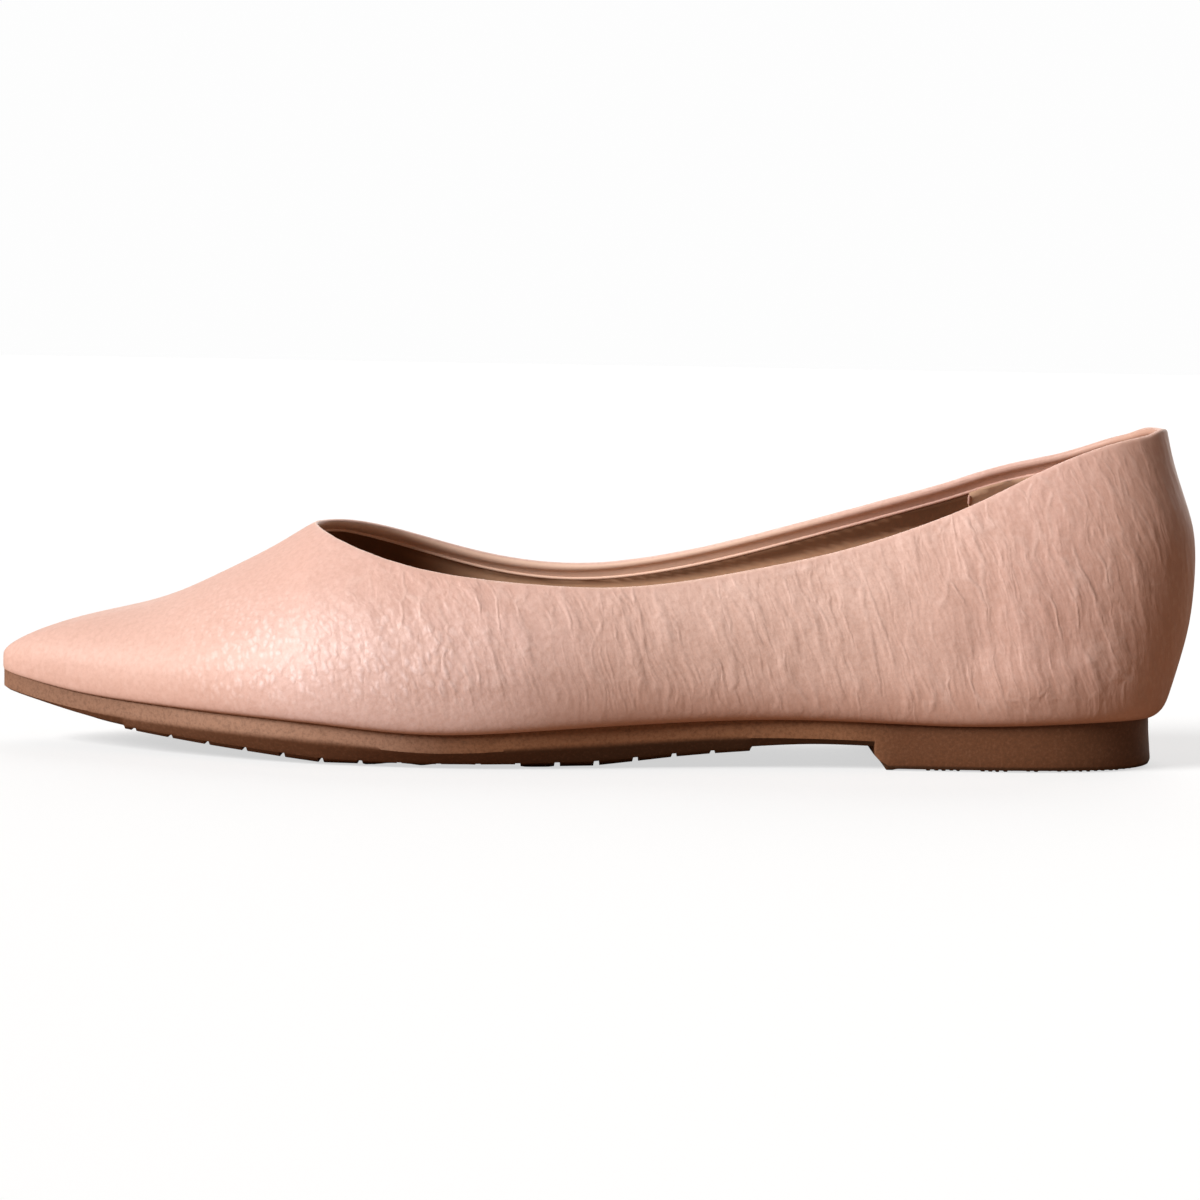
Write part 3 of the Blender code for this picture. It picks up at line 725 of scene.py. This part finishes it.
upperLeather = takeSolid("upper", "upperLeather")
insideLine = lineInside(upperLeather)
rim = measureRim(upperLeather)
smoothSkin(upperLeather, upper["skinLevels"])
for vertex in upperLeather.data.vertices:
    # a soft lift at the very back of the topline
    back = unit((vertex.co.x - upper["tipFrom"][0]) / upper["tipFade"][0])
    share = back * unit((vertex.co.z - upper["tipFrom"][1]) / upper["tipFade"][1])
    vertex.co.z += upper["backTip"] * share * share * (3.0 - 2.0 * share)
innerWall = bpy.data.objects.new("innerWall", upperLeather.data.copy())
bpy.context.scene.collection.objects.link(innerWall)
markWalls(upperLeather)
markJoint(upperLeather, "outsole", soleJoint["onUpper"])
pressCreases(upperLeather)
finishPiece(upperLeather, leatherFinish, "upper")
print("upper skinned and creased:", len(upperLeather.data.polygons), "faces")


# Lining: the inner wall below the facing, as a thin skin of its own

lining = {
    "clear": 0.00005,
    "thickness": 0.00018,    # thin enough to pass beside the sock
    "turnedDown": -0.1,      # faces that look further down than this and lie near the sole are left out
    "offSole": 0.0018,
    "topReach": 0.0015,
    "paleFrom": 0.0041,
    "paleSlope": 0.052,
    "paleFade": 0.0015,
    "paleFront": -0.044,
    "paleFrontFade": 0.022,
}

soleTree = surfaceTree(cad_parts["outsole"].data)


def isLined(centre, normal):
    # inner faces below the facing, but not the ones that turn down on to the sole
    if normal.z < lining["turnedDown"] and soleTree.find_nearest(centre)[3] < lining["offSole"]:
        return False
    return looksInward(centre, normal) and rim.find(centre)[2] > upper["facing"]


def looseEdges(mesh):
    used = {}
    for face in mesh.polygons:
        for key in face.edge_keys:
            used[key] = used.get(key, 0) + 1
    return [key for key, count in used.items() if count == 1]


def evenTop(mesh):
    # draws the sheet's upper edge to the same distance from the topline all round
    loose = {k for key in looseEdges(mesh) for k in key}
    for k in (k for k in loose if rim.find(mesh.vertices[k].co)[2] < upper["facing"] + lining["topReach"]):
        point = mesh.vertices[k].co
        nearest, _, gap = rim.find(point)
        mesh.vertices[k].co = nearest + (point - nearest) * upper["facing"] / gap


keepFaces(innerWall, isLined)
evenTop(innerWall.data)


def thinLayer(name, clear):
    # a layer of its own, held clear of the wall behind it
    layer = bpy.data.objects.new(name, innerWall.data.copy())
    bpy.context.scene.collection.objects.link(layer)
    selectOnly(layer)
    bpy.ops.object.mode_set(mode="EDIT")
    bpy.ops.mesh.select_all(action="SELECT")
    bpy.ops.transform.shrink_fatten(value=clear)
    bpy.ops.object.mode_set(mode="OBJECT")
    return layer


def topEdge(piece, name):
    # a loose copy of the sheet's upper edge
    edge = bpy.data.objects.new(name, piece.data.copy())
    bpy.context.scene.collection.objects.link(edge)
    reach = upper["facing"] + bead["reach"]
    near = {vertex.index for vertex in edge.data.vertices if rim.find(vertex.co)[2] < reach}
    top = {tuple(sorted(key)) for key in looseEdges(edge.data) if near.issuperset(key)}
    selectOnly(edge)
    bpy.ops.object.mode_set(mode="EDIT")
    bpy.ops.mesh.select_mode(type="EDGE")
    bpy.ops.mesh.select_all(action="DESELECT")
    bpy.ops.object.mode_set(mode="OBJECT")
    for line in edge.data.edges:
        line.select = tuple(sorted(line.vertices)) in top
    bpy.ops.object.mode_set(mode="EDIT")
    bpy.ops.mesh.select_all(action="INVERT")
    bpy.ops.mesh.delete(type="EDGE")
    bpy.ops.mesh.select_all(action="SELECT")
    bpy.ops.mesh.remove_doubles(threshold=bead["spacing"])
    bpy.ops.mesh.vertices_smooth(factor=0.5, repeat=bead["smoothing"])
    bpy.ops.object.mode_set(mode="OBJECT")
    return edge


def makeTube(piece, radius):
    # turns a line into a round cord of its own mesh
    selectOnly(piece)
    bpy.ops.object.convert(target="CURVE")
    piece.data.dimensions = "3D"
    piece.data.bevel_depth = radius
    piece.data.bevel_resolution = bead["sides"]
    bpy.ops.object.convert(target="MESH")


# Facing bead: the turned edge of the facing stands up as a thin ridge all round

bead = {"radius": 0.00036, "spacing": 0.0008, "reach": 0.0006, "smoothing": 6, "sides": 3}

facingBead = topEdge(innerWall, "facingBead")
makeTube(facingBead, bead["radius"])
finishPiece(facingBead, leatherFinish)
print("facing bead turned:", len(facingBead.data.polygons), "faces")


def markPale(piece):
    # painted light: 1 where the lining is painted paler, below the topline's shade, further down towards the heel
    pale = piece.data.attributes.new("pale", "FLOAT", "POINT")
    for vertex in piece.data.vertices:
        start = lining["paleFrom"] + lining["paleSlope"] * max(0.0, vertex.co.x)
        share = unit((rim.find(vertex.co)[2] - start) / lining["paleFade"])
        along = unit((vertex.co.x - lining["paleFront"]) / lining["paleFrontFade"])
        pale.data[vertex.index].value = share * along


quarterLining = thinLayer("quarterLining", lining["clear"])
applyModifier(quarterLining, "SOLIDIFY", thickness=lining["thickness"], offset=1.0)
markPale(quarterLining)
finishPiece(quarterLining, frontLiningFinish)
print("lining laid in:", len(quarterLining.data.polygons), "faces")


# Heel grip: a lighter piece over the lining, with a stitched front edge

heelGrip = {
    "front": 0.0835,
    "clear": 0.00028,
    "thickness": 0.00060,
    "aboveSock": 0.0003,
    "stitch": 0.0022,
    "stitchGap": 0.0010,
    "stitchStart": 0.0004,
    "stitchSides": 10,
    "thread": 0.00030,
    "edgeReach": 0.0012,     # points this near to the front edge
    "edgeStep": 0.0008,      # one for each step of height
}

sockPoints = [vertex.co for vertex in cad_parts["insole"].data.vertices]
gripFoot = heelGrip["aboveSock"] + max(point.z for point in sockPoints if point.x > heelGrip["front"])
gripLeather = thinLayer("gripLeather", heelGrip["clear"])
selectOnly(gripLeather)
bpy.ops.object.mode_set(mode="EDIT")
bpy.ops.mesh.select_all(action="SELECT")
bpy.ops.mesh.bisect(plane_co=(heelGrip["front"], 0.0, 0.0), plane_no=(1.0, 0.0, 0.0), clear_inner=True)
bpy.ops.mesh.select_all(action="SELECT")
bpy.ops.mesh.bisect(plane_co=(0.0, 0.0, gripFoot), plane_no=(0.0, 0.0, 1.0), clear_inner=True)
bpy.ops.object.mode_set(mode="OBJECT")
applyModifier(gripLeather, "SOLIDIFY", thickness=heelGrip["thickness"], offset=1.0)
finishPiece(gripLeather, heelLiningFinish)
print("heel grip laid in:", len(gripLeather.data.polygons), "faces")


def gripEdge(side):
    # points down the grip's front edge on one wall, top to bottom, on the side that faces the foot
    rows = {}
    for point in (vertex.co.copy() for vertex in gripLeather.data.vertices):
        inFront = abs(point.x - heelGrip["front"] - heelGrip["thread"]) < heelGrip["edgeReach"]
        key = round(point.z / heelGrip["edgeStep"])
        if inFront and point.y * side > 0.0 and (key not in rows or abs(point.y) < abs(rows[key].y)):
            rows[key] = point
    return [rows[key] for key in sorted(rows, reverse=True)]


def layStitch(start, end, radius):
    # one stitch: a round bar, narrowed at both ends
    long = (end - start).length
    sides = heelGrip["stitchSides"]
    bpy.ops.mesh.primitive_cylinder_add(vertices=sides, radius=radius, depth=long, location=(0.0, 0.0, 0.0))
    stitch = bpy.context.object
    bpy.ops.object.mode_set(mode="EDIT")
    bpy.ops.mesh.select_all(action="SELECT")
    bpy.ops.mesh.bevel(offset=radius * 0.6, segments=2, affect="EDGES")
    bpy.ops.object.mode_set(mode="OBJECT")
    turn = (end - start).to_track_quat("Z", "Y").to_matrix().to_4x4()
    stitch.data.transform(Matrix.Translation((start + end) / 2.0) @ turn)
    return stitch


def walk(points, distance):
    # the place a given way along a line of points
    for first, second in zip(points, points[1:]):
        step = (second - first).length
        if distance <= step:
            return first.lerp(second, distance / step)
        distance -= step
    return None


def joinPieces(pieces, name):
    bpy.ops.object.select_all(action="DESELECT")
    for piece in pieces:
        piece.select_set(True)
    bpy.context.view_layer.objects.active = pieces[0]
    bpy.ops.object.join()
    pieces[0].name = name
    pieces[0].data.name = name
    return pieces[0]


stitches = []
for side in (1.0, -1.0):
    edge = gripEdge(side)
    reach = heelGrip["stitchStart"]
    while walk(edge, reach + heelGrip["stitch"]):
        start, end = walk(edge, reach), walk(edge, reach + heelGrip["stitch"])
        stitches.append(layStitch(start, end, heelGrip["thread"]))
        reach += heelGrip["stitch"] + heelGrip["stitchGap"]
gripStitches = joinPieces(stitches, "gripStitches")
finishPiece(gripStitches, threadFinish, angle=40.0)
bpy.data.objects.remove(innerWall)
print("grip stitched:", len(gripStitches.data.polygons), "faces")


# Sole: one moulded unit with rounded lips, raised a little under the heel to take the ribs

sole = {
    "lip": 0.00022,
    "sharp": 28.0,           # degrees: edges sharper than this get the lip
    "hard": 34.0,
    "turn": 16.0,
    "turnCrease": 0.62,
    "heelFront": 0.0640,
    "ribLift": 0.00040,
    "topReach": 0.00105,     # the top rises this far at most, to this close below the leather
    "topClear": 0.00001,
}


def creaseSole(piece):
    # every hard edge stays crisp, and the line where the side wall turns under is a little softer
    mesh = piece.data
    done = set()
    for angle, crease in ((sole["hard"], 1.0), (sole["turn"], sole["turnCrease"])):
        selectOnly(piece)
        bpy.ops.object.mode_set(mode="EDIT")
        bpy.ops.mesh.select_mode(type="EDGE")
        bpy.ops.mesh.select_all(action="DESELECT")
        bpy.ops.mesh.edges_select_sharp(sharpness=math.radians(angle))
        bpy.ops.object.mode_set(mode="OBJECT")
        for edge in mesh.edges:
            run = mesh.vertices[edge.vertices[1]].co - mesh.vertices[edge.vertices[0]].co
            level = abs(run.z) < 0.5 * run.length
            edge.select = edge.select and edge.index not in done and (level or crease == 1.0)
            if edge.select:
                done.add(edge.index)
        bpy.ops.object.mode_set(mode="EDIT")
        bpy.ops.transform.edge_crease(value=crease)
        bpy.ops.object.mode_set(mode="OBJECT")


soleRubber = takeSolid("outsole", "soleRubber")
creaseSole(soleRubber)
smoothSkin(soleRubber, 2)
applyModifier(soleRubber, "BEVEL", width=sole["lip"], segments=2, limit_method="ANGLE",
              angle_limit=math.radians(sole["sharp"]), use_clamp_overlap=True)
upperTree = surfaceTree(upperLeather.data)
for vertex in soleRubber.data.vertices:
    # the top rises to the leather above it, so that the glued joint is closed
    gap = upperTree.ray_cast(vertex.co, Vector((0.0, 0.0, 1.0)), sole["topReach"])[3]
    if gap is not None:
        vertex.co.z += max(0.0, gap - sole["topClear"])
for vertex in soleRubber.data.vertices:
    if vertex.co.x > sole["heelFront"]:
        vertex.co.z = max(vertex.co.z, sole["ribLift"])
markJoint(soleRubber, "upper", soleJoint["onSole"])
finishPiece(soleRubber, rubberFinish, "outsole", angle=35.0)
print("sole moulded:", len(soleRubber.data.polygons), "faces")


# Heel ribs: fine bars across the heel's tread, no two quite alike

ribs = {
    "first": 0.0712,
    "last": 0.1172,
    "pitch": 0.00165,
    "width": 0.00085,
    "widthSpread": 0.18,
    "height": 0.00062,
    "rounding": 0.00018,
    "inset": 0.0008,
    "shift": 0.00015,        # how far a rib strays along the heel and up
    "lift": 0.00007,
    "waves": (2.7, 1.13),
    "treadBelow": 0.0008,
    "near": 0.0019,
    "narrowest": 0.004,
}


def heelOutline():
    # the heel's tread at each millimetre of its length: how far it reaches to either side
    spans = {}
    for vertex in soleRubber.data.vertices:
        if vertex.co.z < ribs["treadBelow"] and vertex.co.x > sole["heelFront"]:
            key = round(vertex.co.x / millimetre)
            low, high = spans.get(key, (1.0, -1.0))
            spans[key] = (min(low, vertex.co.y), max(high, vertex.co.y))
    return {key: (low, high) for key, (low, high) in spans.items() if high - low > ribs["narrowest"]}


def heelSpan(x):
    # the narrowest reach within a rib's own width, so that no rib sticks out
    near = [span for key, span in heelSpans.items() if abs(key * millimetre - x) < ribs["near"]]
    return max(low for low, _ in near), min(high for _, high in near)


heelSpans = heelOutline()


def heelRib(x, step):
    low, high = heelSpan(x)
    span = high - low - 2.0 * ribs["inset"]
    wave = sum(math.sin(step * turn) for turn in ribs["waves"]) / 2.0
    bpy.ops.mesh.primitive_cube_add(size=1.0, location=(0.0, 0.0, 0.0))
    rib = bpy.context.object
    width = ribs["width"] * (1.0 + ribs["widthSpread"] * wave)
    rib.data.transform(Matrix.Diagonal((width, span, ribs["height"], 1.0)))
    bpy.ops.object.mode_set(mode="EDIT")
    bpy.ops.mesh.select_all(action="SELECT")
    bpy.ops.mesh.bevel(offset=ribs["rounding"], segments=2, affect="EDGES")
    bpy.ops.object.mode_set(mode="OBJECT")
    height = ribs["height"] / 2.0 + ribs["lift"] * (1.0 + wave)
    rib.data.transform(Matrix.Translation((x + ribs["shift"] * wave, (low + high) / 2.0, height)))
    return rib


ribCount = int((ribs["last"] - ribs["first"]) / ribs["pitch"]) + 1
heelRibs = joinPieces([heelRib(ribs["first"] + k * ribs["pitch"], k) for k in range(ribCount)], "heelRibs")
finishPiece(heelRibs, rubberFinish, angle=40.0)
print("heel ribbed:", ribCount, "ribs")


# Insole: the padded sock on the sole

sock = {"reach": 0.0016, "clear": 0.00029, "front": -0.1080, "upright": 0.7}

sockLining = takeSolid("insole", "sockLining")
smoothSkin(sockLining, 2)
sockEdge = []
for vertex in sockLining.data.vertices:
    if abs(vertex.normal.z) < sock["upright"] and vertex.co.x > sock["front"]:
        sockEdge.append((vertex, Vector((vertex.normal.x, vertex.normal.y, 0.0)).normalized()))
for vertex, outward in sockEdge:
    # behind the toe its edge reaches the lining, so that no light comes up beside it
    gap = upperTree.ray_cast(vertex.co, outward, sock["reach"])[3]
    if gap is not None:
        vertex.co += outward * max(0.0, gap - sock["clear"])
finishPiece(sockLining, heelLiningFinish, "insole")
print("sock laid in")


# Stage: pale floor, soft light and the photo's view

stage = {
    "floorSize": 60.0,
    "floorColour": (0.330, 0.332, 0.335),
    "floorRoughness": 0.9,
    "floorSpecular": 0.1,
    "floorGlow": 0.62,                   # keeps the shadows on the floor pale, as on a light table
    "floorBounce": (0.32, 0.18, 0.105),  # the light it gives back to the shoe is low and warm
    "lightsAway": 1.5,
    "keyColour": (1.0, 0.99, 0.975),
    "keyFrom": (-0.690, -0.485, 0.537),
    "keyStrength": 4.2,
    "keySpread": 26.0,
    "fillColour": (1.0, 0.97, 0.94),
    "fillFrom": (0.25, 0.85, 0.46),      # from behind, for the side away from the camera
    "fillStrength": 1.8,
    "fillSpread": 60.0,
    "surround": 0.13,
    "surroundTint": (1.0, 0.94, 0.87),
    "backdrop": 0.985,
}

bpy.ops.mesh.primitive_plane_add(size=stage["floorSize"], location=(0.0, 0.0, 0.0))
studioFloor = bpy.context.object
studioFloor.name = "studioFloor"
floorFinish, floorTree, floorShader = freshMaterial("paleFloor")
floorShader.inputs["Base Color"].default_value = (*stage["floorColour"], 1.0)
floorShader.inputs["Roughness"].default_value = stage["floorRoughness"]
floorShader.inputs["Specular IOR Level"].default_value = stage["floorSpecular"]
floorShader.inputs["Emission Color"].default_value = (1.0, 1.0, 1.0, 1.0)
floorShader.inputs["Emission Strength"].default_value = stage["floorGlow"]
bounce = addNode(floorTree, "ShaderNodeBsdfDiffuse", Color=(*stage["floorBounce"], 1.0))
direct = addNode(floorTree, "ShaderNodeLightPath").outputs["Is Camera Ray"]
floorMix = addNode(floorTree, "ShaderNodeMixShader", i0=direct, i1=bounce.outputs[0], i2=floorShader.outputs[0])
floorTree.links.new(floorMix.outputs[0], floorTree.nodes["Material Output"].inputs[0])
studioFloor.data.materials.append(floorFinish)


def addSun(light):
    bpy.ops.object.light_add(type="SUN", location=Vector(stage[light + "From"]) * stage["lightsAway"])
    sun = bpy.context.object
    sun.name = light + "Light"
    sun.data.energy = stage[light + "Strength"]
    sun.data.angle = math.radians(stage[light + "Spread"])
    sun.data.color = stage[light + "Colour"]
    sun.rotation_euler = Vector(stage[light + "From"]).to_track_quat("Z", "Y").to_euler()


addSun("key")
addSun("fill")

# the surround lights the shoe softly, and shows pale behind it
world = bpy.data.worlds.new("studio")
bpy.context.scene.world = world
world.use_nodes = True
soft = world.node_tree.nodes["Background"]
soft.inputs["Color"].default_value = (*stage["surroundTint"], 1.0)
soft.inputs["Strength"].default_value = stage["surround"]
seen = addNode(world.node_tree, "ShaderNodeBackground", Color=(1.0, 1.0, 1.0, 1.0), Strength=stage["backdrop"])
straight = addNode(world.node_tree, "ShaderNodeLightPath").outputs["Is Camera Ray"]
either = addNode(world.node_tree, "ShaderNodeMixShader", i0=straight, i1=soft.outputs[0], i2=seen.outputs[0])
world.node_tree.links.new(either.outputs[0], world.node_tree.nodes["World Output"].inputs[0])


# The photo's view: a long lens low on the outer side, rolled a little

view = {
    "lens": 105.0,
    "sensor": 36.0,
    "nearest": 0.01,
    "height": 4.0,           # degrees, as is the roll
    "roll": 1.0,
    "away": 0.7683,
    "aim": (0.00074, 0.0, 0.03345),
}


def addCamera():
    height, roll = math.radians(view["height"]), math.radians(view["roll"])
    upright = Vector((0.0, math.sin(height), math.cos(height)))
    right = Vector((math.cos(roll), 0.0, 0.0)) + upright * math.sin(roll)
    up = Vector((-math.sin(roll), 0.0, 0.0)) + upright * math.cos(roll)
    back = Vector((0.0, -math.cos(height), math.sin(height)))
    bpy.ops.object.camera_add(location=Vector(view["aim"]) + back * view["away"])
    camera = bpy.context.object
    camera.name = "photoView"
    camera.rotation_euler = Matrix((right, up, back)).transposed().to_euler()
    camera.data.lens = view["lens"]
    camera.data.sensor_width = view["sensor"]
    camera.data.clip_start = view["nearest"]
    bpy.context.scene.camera = camera


addCamera()
bpy.context.scene.view_settings.view_transform = "Standard"
print("stage set")
